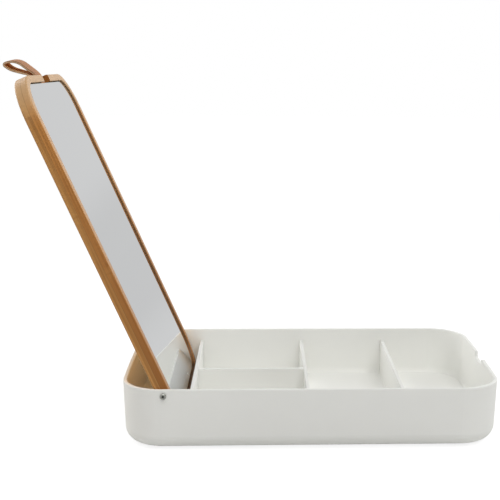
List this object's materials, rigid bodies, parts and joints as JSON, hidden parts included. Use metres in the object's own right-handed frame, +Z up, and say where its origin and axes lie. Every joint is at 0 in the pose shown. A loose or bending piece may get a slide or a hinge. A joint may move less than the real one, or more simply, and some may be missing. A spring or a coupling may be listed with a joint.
{
  "type": "vanity box with mirror lid",
  "caption": "Low rounded plastic tray with compartments and a bamboo lid that pivots near one end, carries a mirror inside and has a leather pull loop.",
  "frame": {"origin": "centre of the plane that the feet stand on, under the middle of the tray", "axes": "+X along the tray away from the pivot end, +Y across it to the back long side, +Z up"},
  "size_m": [0.3237, 0.153, 0.243],
  "materials": {
    "box_plastic": "warm white, satin moulded",
    "insert_plastic": "warm white, satin moulded",
    "foot_rubber": "translucent grey silicone",
    "panel_bamboo": "caramelised bamboo, oiled, long grain",
    "frame_bamboo": "caramelised bamboo, oiled, long grain",
    "mirror": "silvered float glass",
    "foam_tape": "white closed-cell foam",
    "strap_leather": "tan leather, darker flesh side",
    "brad_steel": "plated steel",
    "screw_steel": "plated steel, cross recess",
    "washer_nylon": "natural nylon"
  },
  "bodies": {
    "box": {"box_shell": "box_plastic", "divider_insert": "insert_plastic", "foot_front_left": "foot_rubber", "foot_front_right": "foot_rubber", "foot_back_left": "foot_rubber", "foot_back_right": "foot_rubber"},
    "lid": {"lid_panel": "panel_bamboo", "lid_frame": "frame_bamboo", "mirror_glass": "mirror", "strap_loop": "strap_leather", "mirror_tape_front": "foam_tape", "mirror_tape_middle": "foam_tape", "mirror_tape_back": "foam_tape", "strap_brad_front": "brad_steel", "strap_brad_back": "brad_steel", "pivot_screw_front": "screw_steel", "pivot_screw_back": "screw_steel", "pivot_washer_front": "washer_nylon", "pivot_washer_back": "washer_nylon"}
  },
  "joints": [
    {"name": "lid_hinge", "type": "hinge", "parent": "box", "child": "lid", "pos_m": [-0.0945, 0, 0.037], "axis": [0, 1, 0], "range_deg": [0, 113.6]}
  ]
}
